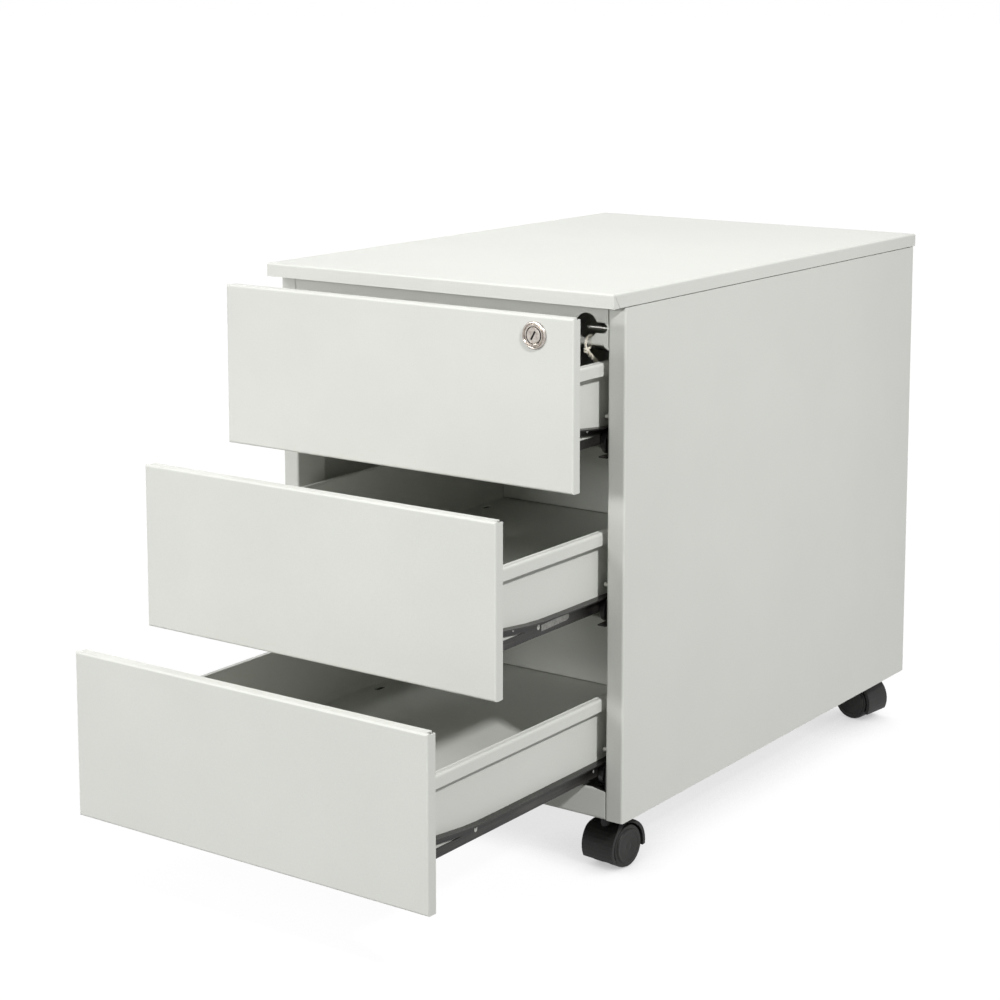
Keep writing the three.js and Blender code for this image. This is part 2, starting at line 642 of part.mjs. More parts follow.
// Floor, walls and boxed lips in one fold, with the plate that is held behind the front's lips.
function drawerTray() {
  const inside = trayHalf - SHEET;
  const lipOuter = inside + TRAY_LIP_WIDTH;
  const lipEnd = trayTop - TRAY_LIP_DROP;
  const half = [
    [inside, TRAY_FLOOR],
    [inside, trayTop],
    [lipOuter, trayTop],
    [lipOuter, lipEnd],
  ];
  const mirrored = half.map(([x, z]) => [-x, z]).reverse();
  const start = FRONT_DEPTH - 2 * SHEET - SEAM;
  const shell = prism("y", foldedOutline([...mirrored, ...half]), start, trayEnd);
  const plateHalf = frontHalf - FRONT_PLATE_INSET;
  const frontPlate = box(-plateHalf, plateHalf, start, start + SHEET, FRONT_PLATE_INSET, trayTop);
  const slot = (side, fromBack) => {
    const x = side * (inside - FLOOR_SLOT.fromWall);
    const y = trayEnd - fromBack;
    const r = FLOOR_SLOT.width / 2;
    const reach = FLOOR_SLOT.length / 2 - r;
    const outline = new THREE.Shape();
    outline.absarc(x, y + reach, r, 0, Math.PI);
    outline.absarc(x, y - reach, r, Math.PI, 2 * Math.PI);
    return prism("z", outline, TRAY_FLOOR - SHEET - OVERRUN, TRAY_FLOOR + OVERRUN, 3);
  };
  const slots = FLOOR_SLOT.fromBack.flatMap((place) => [slot(-1, place), slot(1, place)]);
  return cut(join(shell, frontPlate), ...slots);
}

// The back wall: a shallow pan that closes the tray, open to the rear.
function drawerBack() {
  const inside = trayHalf - SHEET - SEAM;
  const low = TRAY_FLOOR + SEAM;
  const height = trayTop - low;
  const pan = foldedPan(inside, height, PAN_LIP, 0);
  return pan.translate([0, trayEnd - PAN_LIP, low]);
}

// ---------------------------------------------------------------- lock
function lockHousing() {
  const bore = PLUG_RADIUS + PLUG_CLEARANCE;
  const depth = FRONT_DEPTH + SEAM;
  const face = SEAM + ROSETTE_THICKNESS;
  const profile = [
    [-depth, bore], [-depth, BARREL_RADIUS], [SEAM, BARREL_RADIUS], [SEAM, ROSETTE_RADIUS],
    [face - ROSETTE_EDGE, ROSETTE_RADIUS], [face, ROSETTE_RADIUS - ROSETTE_EDGE],
    [face, bore + ROSETTE_EDGE], [face - ROSETTE_EDGE, bore], [-depth, bore],
  ];
  return turned(profile, 24).rotate([0, 0, -90]);
}

function lockPlug() {
  const face = SEAM + ROSETTE_THICKNESS + PLUG_PROUD;
  const profile = [
    [-TAIL_END, 0], [-TAIL_END, TAIL_RADIUS], [-FRONT_DEPTH, TAIL_RADIUS],
    [-FRONT_DEPTH, PLUG_RADIUS], [face - PLUG_EDGE, PLUG_RADIUS],
    [face, PLUG_RADIUS - PLUG_EDGE], [face, 0],
  ];
  const plug = turned(profile, 24).rotate([0, 0, -90]);
  const keyway = box(
    -KEYWAY.width / 2, KEYWAY.width / 2,
    -face - OVERRUN, -face + KEYWAY.depth,
    -KEYWAY.height / 2, KEYWAY.height / 2,
  );
  return cut(plug, keyway.rotate([0, (KEYWAY.tilt * 180) / Math.PI, 0]));
}

// The cam on the plug's tail: an arm that carries the eccentric stud. It points to the post when
// unlocked, and down when the stud has pushed the bar's pin down.
function lockCam() {
  const start = TAIL_END + SEAM;
  const arm = new THREE.Shape();
  arm.absarc(0, 0, TAIL_RADIUS - CAM_INSET, Math.PI, 2 * Math.PI);
  arm.absarc(0, CAM_STUD_OFFSET, PIN_RADIUS + CAM_RIM, 0, Math.PI);
  const stud = rod(
    "y", [0, CAM_STUD_OFFSET], PIN_RADIUS,
    start + CAM_THICKNESS / 2, start + CAM_THICKNESS + CAM_STUD_LENGTH, 8,
  );
  return join(prism("y", arm, start, start + CAM_THICKNESS, 8), stud).rotate([0, 90, 0]);
}

// The bar that slides in the right-hand post, with the pin that the cam moves and three studs.
function lockBar() {
  const y0 = catchY - BAR_WIDTH / 2;
  const low = drawerBottom + CATCH_HEIGHT - 3 * CATCH_RADIUS;
  const high = pinHeight + 3 * PIN_RADIUS;
  const strip = new THREE.Shape();
  const end = BAR_WIDTH / 2;
  strip.moveTo(y0, low + end);
  strip.absarc(y0 + end, low + end, end, Math.PI, 2 * Math.PI);
  strip.lineTo(y0 + BAR_WIDTH, high - end);
  strip.absarc(y0 + end, high - end, end, 0, Math.PI);
  const inBar = barInner + BAR_THICKNESS / 2;
  const studs = DRAWERS.map((_, i) => {
    const z = drawerBottom + i * pitch + CATCH_HEIGHT;
    return rod("x", [catchY, z], CATCH_RADIUS, postInner - CATCH_REACH, inBar, 6);
  });
  return join(
    prism("x", strip, barInner, barInner + BAR_THICKNESS),
    rod("x", [PIN_Y, pinHeight], PIN_RADIUS, lockX - PIN_REACH, inBar, 6),
    ...studs,
  );
}

// ---------------------------------------------------------------- casters
// Each is made about its swivel axis, with z = 0 on the floor and the wheels trailing towards +Y.
const axlePlace = [CASTER_TRAIL, WHEEL_RADIUS];

function casterPlate() {
  const half = PLATE_SIZE / 2 - PLATE_CORNER;
  const outline = new THREE.Shape();
  [[half, half, 0], [-half, half, 1], [-half, -half, 2], [half, -half, 3]].forEach(([x, y, i]) => {
    outline.absarc(x, y, PLATE_CORNER, (i * Math.PI) / 2, ((i + 1) * Math.PI) / 2);
  });
  const plate = prism("z", outline, plateUnderside, plateUnderside + PLATE_THICKNESS, 2);
  const bossEnd = plateUnderside - SOCKET_HEIGHT;
  const boss = rod("z", [0, 0], SOCKET_RADIUS, bossEnd, plateUnderside + PLATE_THICKNESS / 2, 8);
  const boreRadius = STEM_RADIUS + STEM_CLEARANCE;
  const bore = rod("z", [0, 0], boreRadius, bossEnd - OVERRUN, plateUnderside, 8);
  return cut(join(plate, boss), bore);
}

// A domed hood over both wheels: crowned seen from the front, round seen from the side, with a
// deep nose on the swivel's side, and the stem that turns in the plate's boss.
function casterHood() {
  const [axleY, axleZ] = axlePlace;
  const nose = Math.PI + Math.asin(HOOD_NOSE / hoodRadius);
  const tail = -Math.asin(HOOD_TAIL / hoodRadius);
  const side = new THREE.Shape();
  side.absarc(axleY, axleZ, hoodRadius, nose, tail, true);
  const w = HOOD_HALF_WIDTH;
  const crown = WHEEL_RADIUS + hoodRadius - HOOD_CROWN_RADIUS;
  const front = new THREE.Shape();
  front.moveTo(-w, 0);
  front.lineTo(w, 0);
  front.absarc(w - HOOD_CROWN_RADIUS, crown, HOOD_CROWN_RADIUS, 0, Math.PI / 2);
  front.absarc(-w + HOOD_CROWN_RADIUS, crown, HOOD_CROWN_RADIUS, Math.PI / 2, Math.PI);
  const dome = prism("x", side, -w, w, 11).intersect(
    prism("y", front, axleY - hoodRadius - OVERRUN, axleY + hoodRadius + OVERRUN, 3),
  );
  const wheelRoom = (from, to) =>
    rod("x", axlePlace, WHEEL_RADIUS + HOOD_CLEARANCE, from, to, 12);
  const bore = rod("x", axlePlace, CASTER_AXLE_RADIUS + AXLE_CLEARANCE, -w, w, 6);
  const neck = rod("z", [0, 0], HOOD_NECK_RADIUS, axleZ + CASTER_TRAIL, hoodTop, 8);
  const stemFoot = hoodTop - HOOD_THICKNESS / 2;
  const stem = rod("z", [0, 0], STEM_RADIUS, stemFoot, plateUnderside - SEAM, 8);
  const out = w + OVERRUN;
  const shell = cut(join(dome, neck), wheelRoom(HOOD_WEB, out), wheelRoom(-out, -HOOD_WEB));
  return join(cut(shell, bore), stem);
}

// Both wheels and their axle: chamfered treads and slightly domed outer faces.
function casterWheels() {
  const edge = WHEEL_CHAMFER;
  const side = [
    [WHEEL_INNER, CASTER_AXLE_RADIUS], [WHEEL_INNER, WHEEL_RADIUS],
    [WHEEL_OUTER - edge, WHEEL_RADIUS], [WHEEL_OUTER - edge / 4, WHEEL_RADIUS - edge / 3],
    [WHEEL_OUTER - edge / 6, WHEEL_RADIUS - edge / 2], [WHEEL_OUTER, 0],
  ];
  const mirrored = side.map(([x, r]) => [-x, r]).reverse();
  return turned([...mirrored, ...side], 24);
}

// ---------------------------------------------------------------- spare key and string
function keyCord() {
  const points = CORD_ROUTE.map((p) => new THREE.Vector3(...p));
  const curve = new THREE.CatmullRomCurve3(points, false, "centripetal");
  const section = new THREE.Shape();
  for (let i = 0; i < CORD_SIDES; i++) {
    const angle = (2 * Math.PI * i) / CORD_SIDES;
    const at = [CORD_RADIUS * Math.cos(angle), CORD_RADIUS * Math.sin(angle)];
    if (i === 0) section.moveTo(...at);
    else section.lineTo(...at);
  }
  const tube = new THREE.ExtrudeGeometry(section, { steps: CORD_STEPS, extrudePath: curve });
  return solidOf(tube);
}

// A flat key lying in the top drawer, its bow towards the string.
function spareKey() {
  const shape = new THREE.Shape();
  const half = KEY.bladeWidth / 2;
  const neck = Math.sqrt(KEY.bow ** 2 - half ** 2);
  shape.moveTo(half, neck + KEY.blade);
  shape.lineTo(0, neck + KEY.blade + half);
  shape.lineTo(-half, neck + KEY.blade);
  shape.lineTo(-half, neck);
  const start = Math.atan2(neck, -half);
  shape.absarc(0, 0, KEY.bow, start, start + 2 * Math.PI - 2 * (start - Math.PI / 2));
  const hole = new THREE.Path();
  hole.absarc(0, -KEY.bow + 2 * KEY.hole, KEY.hole, 0, 2 * Math.PI);
  shape.holes.push(hole);
  return prism("z", shape, 0, KEY.thickness, 8);
}

// ---------------------------------------------------------------- materials
const material = (color, roughness, metalness) =>
  new THREE.MeshStandardMaterial({ color, roughness, metalness });
const paint = () => material(0xdcddd8, 0.5, 0.1);
const nickel = () => material(0xc9c8c2, 0.25, 1);
const blackSteel = () => material(0x2c2b2a, 0.4, 0.6);
const nylon = () => material(0x1c1c1c, 0.5, 0);
const blackPlastic = () => material(0x242423, 0.45, 0);
const twine = () => material(0xe4dfce, 0.9, 0);

// ---------------------------------------------------------------- assembly
const cabinet = new THREE.Group();
cabinet.position.y = -middleY;

function add(parent, name, solid, makeMaterial, place = [0, 0, 0]) {
  const mesh = new THREE.Mesh(geometryOf(solid), makeMaterial());
  mesh.name = name;
  mesh.position.set(...place);
  parent.add(mesh);
  return mesh;
}

// Adds a right-hand piece and its mirror image on the left.
function addPair(parent, name, solid, makeMaterial, place = [0, 0, 0]) {
  add(parent, `${name}_right`, solid, makeMaterial, place);
  const left = add(parent, `${name}_left`, solid, makeMaterial, [-place[0], place[1], place[2]]);
  left.scale.x = -1;
}

function addCarcass() {
  add(cabinet, "top_cover", topCover(), paint);
  add(cabinet, "side_panel_right", cut(sidePanel(), ...lockSlots()), paint);
  add(cabinet, "side_panel_left", sidePanel(), paint).scale.x = -1;
  add(cabinet, "back_panel", backPanel(), paint);
  add(cabinet, "base_panel", basePanel(), paint);
  add(cabinet, "front_rail_top", topRail(), paint);
  add(cabinet, "front_rail_bottom", bottomRail(), paint);
  add(cabinet, "lock_bar", lockBar(), nickel);
}

function addRunners(drawer, bottom) {
  const rollerX = rollerInner + ROLLER_WIDTH / 2;
  const axleY = CHANNEL_START + FRONT_ROLLER_INSET;
  addPair(cabinet, `cabinet_runner_${drawer}`, cabinetChannel(), blackSteel, [0, 0, bottom]);
  addPair(cabinet, `front_roller_${drawer}`, roller(FRONT_ROLLER_RADIUS), nylon, [
    rollerX, axleY, bottom + frontRollerHeight,
  ]);
}

function addDrawer(drawer, index) {
  const bottom = drawerBottom + index * pitch;
  const isTop = index === DRAWERS.length - 1;
  const group = new THREE.Group();
  group.position.set(0, FRONT_SETBACK - OPENINGS[drawer], bottom);
  cabinet.add(group);
  add(group, `drawer_front_${drawer}`, drawerFront(isTop), paint);
  add(group, `drawer_tray_${drawer}`, drawerTray(), paint);
  add(group, `drawer_back_${drawer}`, drawerBack(), paint);
  addPair(group, `drawer_runner_${drawer}`, drawerMember(), blackSteel);
  addPair(group, `rear_roller_${drawer}`, roller(rearRollerRadius), nylon, [
    rollerInner + ROLLER_WIDTH / 2, trayEnd - REAR_ROLLER_INSET, rearRollerHeight,
  ]);
  if (isTop) {
    const lockPlace = [lockX, 0, lockHeight - topDrawerBottom];
    add(group, "lock_housing", lockHousing(), nickel, lockPlace);
    add(group, "lock_plug", lockPlug(), nickel, lockPlace);
    add(group, "lock_cam", lockCam(), nickel, lockPlace);
  }
  addRunners(drawer, bottom);
}

function addCaster({ name, side, rear, turn }) {
  const y = rear ? bodyBack - CASTER_REAR_INSET : POST_SETBACK + CASTER_FRONT_INSET;
  const place = new THREE.Group();
  place.position.set(side * (bodyHalf - CASTER_SIDE_INSET), y, 0);
  cabinet.add(place);
  add(place, `caster_plate_${name}`, casterPlate(), blackSteel);
  const swivel = new THREE.Group();
  swivel.rotation.z = turn;
  place.add(swivel);
  add(swivel, `caster_hood_${name}`, casterHood(), blackPlastic);
  add(swivel, `caster_wheels_${name}`, casterWheels(), blackPlastic, [0, ...axlePlace]);
}

function addSpareKey() {
  add(cabinet, "key_cord", keyCord(), twine);
  const [x, y] = CORD_ROUTE[CORD_ROUTE.length - 1];
  const place = [
    x - KEY_PLACE.aside, y + KEY.bow + KEY_PLACE.gap, topDrawerBottom + TRAY_FLOOR + KEY_PLACE.lift,
  ];
  add(cabinet, "spare_key", spareKey(), nickel, place).rotation.z = KEY_PLACE.turn;
}

addCarcass();
DRAWERS.forEach(addDrawer);
CASTERS.forEach(addCaster);
addSpareKey();

export default cabinet;
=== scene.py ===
import math

import bmesh
import bpy
from mathutils import Matrix, Vector


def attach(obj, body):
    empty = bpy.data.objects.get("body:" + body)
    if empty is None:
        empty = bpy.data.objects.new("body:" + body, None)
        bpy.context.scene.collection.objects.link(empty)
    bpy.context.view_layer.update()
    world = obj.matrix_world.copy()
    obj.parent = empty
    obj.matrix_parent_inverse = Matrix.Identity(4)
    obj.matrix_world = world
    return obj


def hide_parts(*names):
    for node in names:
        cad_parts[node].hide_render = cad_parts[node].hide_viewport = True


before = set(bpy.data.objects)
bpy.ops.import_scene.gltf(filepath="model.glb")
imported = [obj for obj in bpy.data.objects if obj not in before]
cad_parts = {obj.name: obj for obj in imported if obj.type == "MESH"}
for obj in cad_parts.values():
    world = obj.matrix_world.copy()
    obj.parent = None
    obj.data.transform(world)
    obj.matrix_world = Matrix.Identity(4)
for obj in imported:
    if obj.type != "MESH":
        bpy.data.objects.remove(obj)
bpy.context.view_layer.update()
MM = 0.001

# ---------------------------------------------------------------- camera
CAMERA_PLACE = (1.2336, -1.7894, 0.7912)
CAMERA_DOWN = 0.14152  # radians below level
CAMERA_TURN = 0.61888  # radians to the left of straight back
SENSOR_WIDTH = 36
FOCAL_LENGTH = 82.4
LENS_SHIFT = -0.19

camera = bpy.data.objects.new("camera", bpy.data.cameras.new("camera"))
bpy.context.scene.collection.objects.link(camera)
camera.location = CAMERA_PLACE
camera.rotation_euler = (math.pi / 2 - CAMERA_DOWN, 0, CAMERA_TURN)
camera.data.sensor_width = SENSOR_WIDTH
camera.data.lens = FOCAL_LENGTH
camera.data.shift_y = LENS_SHIFT
bpy.context.scene.camera = camera
bpy.context.scene.view_settings.view_transform = "Standard"


# ---------------------------------------------------------------- mesh helpers
SAME_POINT = 1e-6  # metres
CAD_SMOOTH = 36  # degrees: bends of the CAD pieces below this are smooth


def piece(name, verts, faces, material, body, slot, smooth):
    """A new mesh object in the row frame that rides on a body."""
    mesh = bpy.data.meshes.new(name)
    mesh.from_pydata([tuple(v) for v in verts], [], [tuple(f) for f in faces])
    bm = bmesh.new()
    bm.from_mesh(mesh)
    bmesh.ops.remove_doubles(bm, verts=bm.verts, dist=SAME_POINT)
    bmesh.ops.recalc_face_normals(bm, faces=bm.faces)
    bm.to_mesh(mesh)
    bm.free()
    mesh.materials.append(material)
    made = bpy.data.objects.new(name, mesh)
    bpy.context.scene.collection.objects.link(made)
    shade(made, smooth)
    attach(made, body)
    return made


def shade(obj, angle):
    """Smooth faces, with edges sharper than the angle kept."""
    mesh = obj.data
    mesh.polygons.foreach_set("use_smooth", [True] * len(mesh.polygons))
    bm = bmesh.new()
    bm.from_mesh(mesh)
    limit = math.radians(angle)
    for edge in bm.edges:
        if len(edge.link_faces) == 2:
            edge.smooth = edge.calc_face_angle(0) < limit
    bm.to_mesh(mesh)
    bm.free()


def lathe(profile, segments, axis, centre):
    """A closed solid turned about the x or y axis, from (along, radius) points.

    The profile starts and ends on the axis, or comes back to its first point.
    """
    rings = []
    verts = []
    for along, radius in profile:
        ring = []
        count = segments if radius else 1
        for i in range(count):
            a = 2 * math.pi * i / segments
            u, v = radius * math.cos(a), radius * math.sin(a)
            p = (along, u, v) if axis == "x" else (v, along, u)
            ring.append(len(verts))
            verts.append([p[k] + centre[k] for k in range(3)])
        rings.append(ring)
    faces = []
    for a, b in zip(rings, rings[1:]):
        for i in range(segments):
            j = (i + 1) % segments
            quad = [a[i % len(a)], a[j % len(a)], b[j % len(b)], b[i % len(b)]]
            quad = [q for k, q in enumerate(quad) if q != quad[k - 1]]
            if len(quad) >= 3:
                faces.append(quad)
    return verts, faces


def prism(first, last):
    """A closed solid between two outlines with the same number of points."""
    count = len(first)
    faces = [list(range(count))[::-1], list(range(count, 2 * count))]
    faces += [[i, (i + 1) % count, count + (i + 1) % count, count + i] for i in range(count)]
    return first + last, faces


def merged(*solids):
    """Several solids as one list of points and one of faces."""
    verts, faces = [], []
    for v, f in solids:
        base = len(verts)
        verts += v
        faces += [[i + base for i in face] for face in f]
    return verts, faces


def metres(solid, side=1):
    """A solid in millimetres as one in metres, mirrored when the side is -1."""
    verts, faces = solid
    return [(side * x * MM, y * MM, z * MM) for x, y, z in verts], faces


# ---------------------------------------------------------------- materials
NOISE_SPAN = (0.3, 0.7)  # the part of 0 to 1 that a noise mostly covers
CREASE_SHADE_REACH = 0.005  # metres over which painted shade darkens the coat towards a fold or a gap


class Nodes:
    """A short way to write the node tree of a material or of the world."""

    def __init__(self, owner, output="OutputMaterial"):
        owner.use_nodes = True
        self.owner = owner
        self.tree = owner.node_tree
        self.tree.nodes.clear()
        self.output = self.add(output)

    def add(self, kind, values=None, **settings):
        node = self.tree.nodes.new("ShaderNode" + kind)
        for key, value in settings.items():
            setattr(node, key, value)
        for key, value in (values or {}).items():
            if isinstance(value, bpy.types.NodeSocket):
                self.tree.links.new(value, node.inputs[key])
            else:
                node.inputs[key].default_value = value
        return node

    def place(self):
        return self.add("TexCoord").outputs["Object"]

    def noise(self, scale, detail, roughness=0.5, stretch=None):
        place = self.place()
        if stretch:
            place = self.add("Mapping", {"Vector": place, "Scale": stretch}).outputs[0]
        return self.add(
            "TexNoise",
            {"Vector": place, "Scale": scale, "Detail": detail, "Roughness": roughness},
        ).outputs["Fac"]

    def ramp(self, value, low, high, to_low=0.0, to_high=1.0):
        return self.add(
            "MapRange",
            {"Value": value, "From Min": low, "From Max": high,
             "To Min": to_low, "To Max": to_high},
        ).outputs["Result"]

    def mix(self, factor, a, b):
        node = self.add("Mix", data_type="RGBA")
        # The colour sockets of a Mix node share their names with the float ones.
        for index, value in ((0, factor), (6, a), (7, b)):
            if isinstance(value, bpy.types.NodeSocket):
                self.tree.links.new(value, node.inputs[index])
            else:
                node.inputs[index].default_value = value
        return node.outputs[2]

    def bump(self, height, distance, strength, normal=None):
        values = {"Height": height, "Distance": distance, "Strength": strength}
        if normal is not None:
            values["Normal"] = normal
        return self.add("Bump", values).outputs["Normal"]

    def seen(self):
        """1 to the camera and in reflections, and 0 to the light that falls on other things."""
        path = self.add("LightPath").outputs
        seen = path["Is Camera Ray"]
        for other in ("Is Glossy Ray", "Is Transmission Ray"):
            seen = self.add("Math", {0: seen, 1: path[other]}, operation="MAXIMUM").outputs[0]
        return seen

    def finish(self, shader):
        self.tree.links.new(shader.outputs[0], self.output.inputs["Surface"])
        return self.owner


def rgb(r, g, b):
    """An sRGB colour, 0 to 255, as linear light."""
    def linear(c):
        c /= 255
        return c / 12.92 if c <= 0.04045 else ((c + 0.055) / 1.055) ** 2.4
    return (linear(r), linear(g), linear(b), 1)


def powder_coat():
    n = Nodes(bpy.data.materials.new("powder_coat"))
    cloud = n.noise(9, 3, 0.55)
    grain = n.noise(900, 2, 0.6)
    peel = n.noise(330, 2, 0.5)
    colour = n.mix(n.ramp(cloud, *NOISE_SPAN), rgb(218, 219, 213), rgb(222, 223, 217))
    colour = n.mix(n.ramp(grain, 0.35, 0.75, 0, 0.25), colour, rgb(208, 209, 204))
    # Painted shade: near folds and gaps, ambient occlusion turns the coat's colour towards dark
    # grey.
    open_sky = n.add("AmbientOcclusion", {"Distance": CREASE_SHADE_REACH}, samples=8).outputs["AO"]
    colour = n.mix(n.ramp(open_sky, 0.1, 0.5, 0.3, 0), colour, rgb(96, 95, 90))
    rough = n.add(
        "Math",
        {0: n.ramp(grain, *NOISE_SPAN, 0.40, 0.47), 1: n.ramp(cloud, *NOISE_SPAN, -0.03, 0.03)},
        operation="ADD",
    ).outputs[0]
    normal = n.bump(peel, 0.00006, 0.5, n.bump(grain, 0.00002, 0.4))
    shader = n.add(
        "BsdfPrincipled",
        {"Base Color": colour, "Roughness": rough, "Normal": normal, "Specular IOR Level": 0.45},
    )
    return n.finish(shader)


def black_steel():
    n = Nodes(bpy.data.materials.new("black_steel"))
    cloud = n.noise(40, 3)
    grain = n.noise(1400, 2)
    drawn = n.noise(300, 2, 0.5, (1, 0.05, 1))
    colour = n.mix(n.ramp(cloud, *NOISE_SPAN), rgb(24, 23, 22), rgb(40, 39, 37))
    colour = n.mix(n.ramp(drawn, 0.5, 0.8, 0, 0.45), colour, rgb(78, 76, 72))
    rough = n.ramp(grain, *NOISE_SPAN, 0.26, 0.40)
    normal = n.bump(grain, 0.00003, 0.5)
    shader = n.add(
        "BsdfPrincipled",
        {"Base Color": colour, "Roughness": rough, "Normal": normal,
         "Specular IOR Level": 0.35},
    )
    return n.finish(shader)


def nylon():
    n = Nodes(bpy.data.materials.new("black_nylon"))
    grain = n.noise(1600, 2)
    cloud = n.noise(60, 3)
    colour = n.mix(n.ramp(cloud, *NOISE_SPAN), rgb(22, 22, 22), rgb(34, 34, 33))
    shader = n.add(
        "BsdfPrincipled",
        {"Base Color": colour, "Roughness": n.ramp(grain, *NOISE_SPAN, 0.42, 0.55),
         "Normal": n.bump(grain, 0.00004, 0.5)},
    )
    return n.finish(shader)


def black_plastic():
    n = Nodes(bpy.data.materials.new("black_plastic"))
    grain = n.noise(1100, 3)
    cloud = n.noise(50, 3)
    colour = n.mix(n.ramp(cloud, *NOISE_SPAN), rgb(26, 26, 25), rgb(36, 36, 35))
    colour = n.mix(n.ramp(grain, 0.5, 0.75, 0, 0.5), colour, rgb(62, 62, 60))
    shader = n.add(
        "BsdfPrincipled",
        {"Base Color": colour, "Roughness": n.ramp(grain, *NOISE_SPAN, 0.46, 0.6),
         "Normal": n.bump(grain, 0.00008, 0.7), "Specular IOR Level": 0.3},
    )
    return n.finish(shader)


def nickel():
    n = Nodes(bpy.data.materials.new("nickel"))
    cloud = n.noise(260, 3)
    brush = n.noise(900, 2, 0.5, (1, 0.1, 1))
    colour = n.mix(n.ramp(cloud, *NOISE_SPAN), rgb(166, 158, 151), rgb(203, 197, 190))
    colour = n.mix(n.ramp(brush, 0.55, 0.8, 0, 0.5), colour, rgb(120, 111, 104))
    shader = n.add(
        "BsdfPrincipled",
        {"Base Color": colour, "Metallic": 1.0,
         "Roughness": n.ramp(brush, *NOISE_SPAN, 0.16, 0.28),
         "Normal": n.bump(brush, 0.00004, 0.4)},
    )
    return n.finish(shader)


def zinc(name="zinc_steel", dull=(160, 160, 156), pale=(196, 195, 190), worn=(112, 112, 108)):
    n = Nodes(bpy.data.materials.new(name))
    cloud = n.noise(320, 3)
    drawn = n.noise(1200, 2, 0.5, (0.08, 1, 1))
    colour = n.mix(n.ramp(cloud, *NOISE_SPAN), rgb(*dull), rgb(*pale))
    colour = n.mix(n.ramp(drawn, 0.5, 0.8, 0, 0.5), colour, rgb(*worn))
    shader = n.add(
        "BsdfPrincipled",
        {"Base Color": colour, "Metallic": 1.0,
         "Roughness": n.ramp(cloud, *NOISE_SPAN, 0.26, 0.40),
         "Normal": n.bump(drawn, 0.00003, 0.4)},
    )
    return n.finish(shader)


def dark_recess():
    """The wafers inside the keyway, near black: painted shade of the deep keyway."""
    n = Nodes(bpy.data.materials.new("key_wafers"))
    cloud = n.noise(900, 2)
    colour = n.mix(n.ramp(cloud, *NOISE_SPAN), rgb(14, 13, 12), rgb(40, 36, 32))
    shader = n.add(
        "BsdfPrincipled",
        {"Base Color": colour, "Roughness": n.ramp(cloud, *NOISE_SPAN, 0.5, 0.7),
         "Normal": n.bump(cloud, 0.00005, 0.5)},
    )
    return n.finish(shader)


def twine():
    n = Nodes(bpy.data.materials.new("twine"))
    fibre = n.noise(1400, 3, 0.6)
    cloud = n.noise(160, 2)
    colour = n.mix(n.ramp(cloud, *NOISE_SPAN), rgb(216, 210, 192), rgb(236, 232, 218))
    colour = n.mix(n.ramp(fibre, 0.55, 0.75, 0, 0.35), colour, rgb(186, 176, 152))
    shader = n.add(
        "BsdfPrincipled",
        {"Base Color": colour, "Roughness": n.ramp(fibre, *NOISE_SPAN, 0.78, 0.95),
         "Normal": n.bump(fibre, 0.00015, 0.8), "Sheen Weight": 0.3, "Sheen Roughness": 0.5},
    )
    return n.finish(shader)


PAINT = powder_coat()
BLACK_STEEL = black_steel()
NYLON = nylon()
PLASTIC = black_plastic()
NICKEL = nickel()
ZINC = zinc()
TWINE = twine()
RECESS = dark_recess()
# A lighter steel for the patch on the middle drawer's webs: painted reflection.
WEB_REFLECTION_STEEL = zinc("painted_reflection_steel", (116, 116, 113), (146, 145, 142), (88, 87, 84))

FINISH = [
    (("top_cover", "side_panel", "back_panel", "base_panel", "front_rail", "drawer_front",
      "drawer_tray", "drawer_back"), PAINT),
    (("cabinet_runner", "drawer_runner", "caster_plate"), BLACK_STEEL),
    (("front_roller", "rear_roller"), NYLON),
    (("caster_hood", "caster_wheels"), PLASTIC),
    (("lock_bar",), ZINC),
    (("lock_housing", "lock_plug", "lock_cam", "spare_key"), NICKEL),
    (("key_cord",), TWINE),
]
for name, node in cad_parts.items():
    material = next(m for starts, m in FINISH if name.startswith(starts))
    if node.data.materials:
        for i in range(len(node.data.materials)):
            node.data.materials[i] = material
    else:
        node.data.materials.append(material)
    shade(node, CAD_SMOOTH)

# ---------------------------------------------------------------- the spare key's string
# The route of the string's CAD solid, in millimetres: over the strip under the lock cut-out,
# through its knot, and down inside the top drawer to the key.
CORD_ROUTE = [
    (155.4, -142.4, 476.8), (156.6, -140.0, 480.2), (157.8, -139.2, 484.2), (158.4, -140.4, 487.4),
    (157.9, -143.4, 488.7), (156.8, -146.4, 487.6), (155.8, -147.8, 484.2), (155.3, -147.4, 480.0),
    (155.9, -146.4, 476.2), (156.0, -142.6, 472.6), (156.2, -138.0, 469.0), (156.1, -132.2, 464.9),
    (155.4, -127.2, 459.4), (154.4, -123.6, 452.0), (153.2, -121.4, 443.0), (151.8, -120.0, 433.0),
    (150.4, -119.0, 423.0), (148.8, -117.6, 413.0), (147.2, -115.2, 404.4), (145.2, -110.6, 398.9),
    (143.4, -105.4, 397.0),
]
CORD_DIAMETER = 2.5
KNOT_POINT = 8  # of the route: one strand before it, two twisted strands after it
SPLINE_STEPS = 8
ROPE = {"sides": 18, "lobes": 3, "twist": 1400, "lobe_depth": 0.11}  # twist in radians per metre
# Radii and offsets below are shares of the string's own radius.
LOOP_RADIUS = 0.98
STRANDS = {"radius": 0.84, "offset": 0.82, "turns": 8, "phase": 0.3, "ease_in": 4}
KNOT = {"radius": 0.72, "out": 1.32, "swell": 0.38, "swells_per_turn": 1.5, "flat": 0.8,
        "half_height": 1.3, "turns": 3, "steps": 48}


